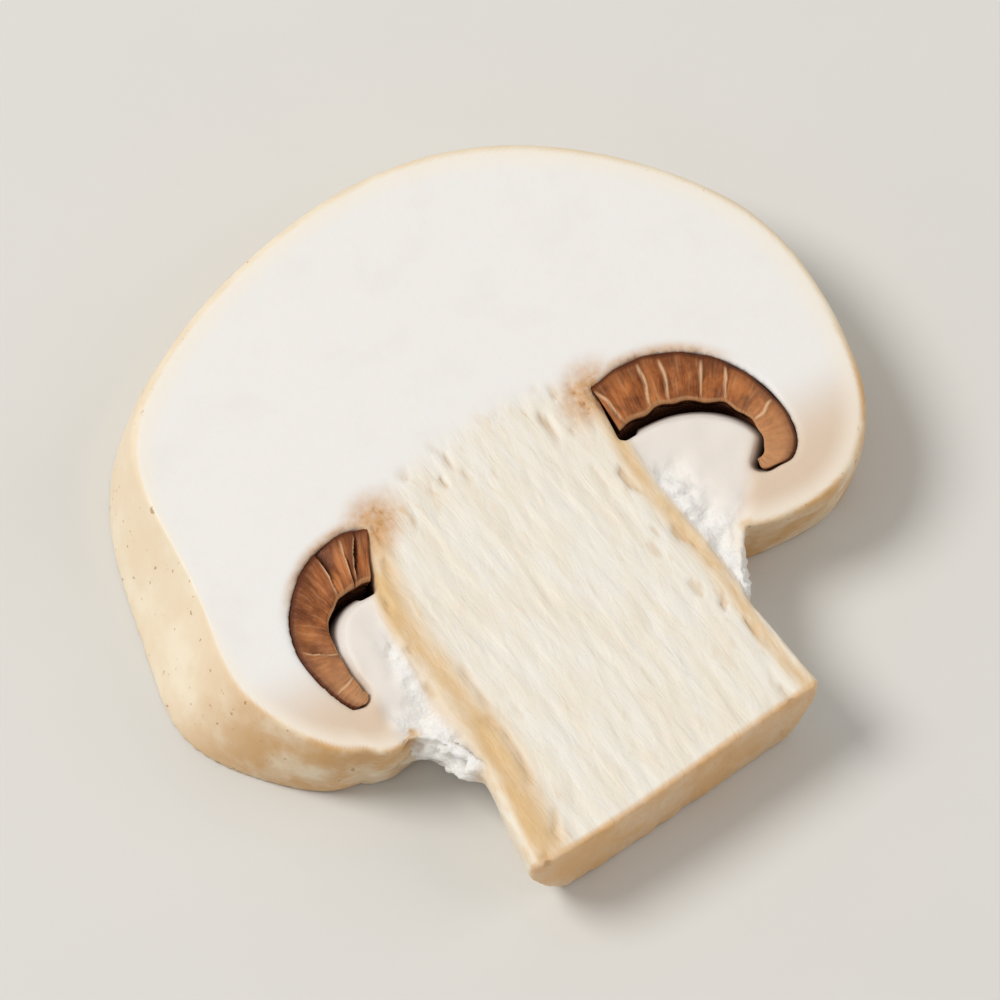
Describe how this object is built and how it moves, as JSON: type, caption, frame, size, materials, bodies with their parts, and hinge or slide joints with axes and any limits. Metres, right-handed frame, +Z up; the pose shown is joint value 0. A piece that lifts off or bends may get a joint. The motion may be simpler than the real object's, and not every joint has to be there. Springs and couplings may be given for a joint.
{
  "type": "button mushroom slice",
  "caption": "Slice of a raw button mushroom, cut lengthwise through cap and stem, showing white flesh, brown gills in their chamber and the cottony veil.",
  "frame": {"origin": "on the lower cut face, under the middle of the slice's outline", "axes": "+Z up through the slice's thickness, +X across the cap, +Y from the stem towards the top of the cap"},
  "size_m": [0.046, 0.0452, 0.0062],
  "materials": {
    "flesh": "soft matte raw flesh, ivory white, with thin cream skin",
    "gills": "matte sienna brown"
  },
  "bodies": {
    "root": {"cap_and_stem": "flesh", "gills_left": "gills", "gills_right": "gills"}
  },
  "joints": []
}
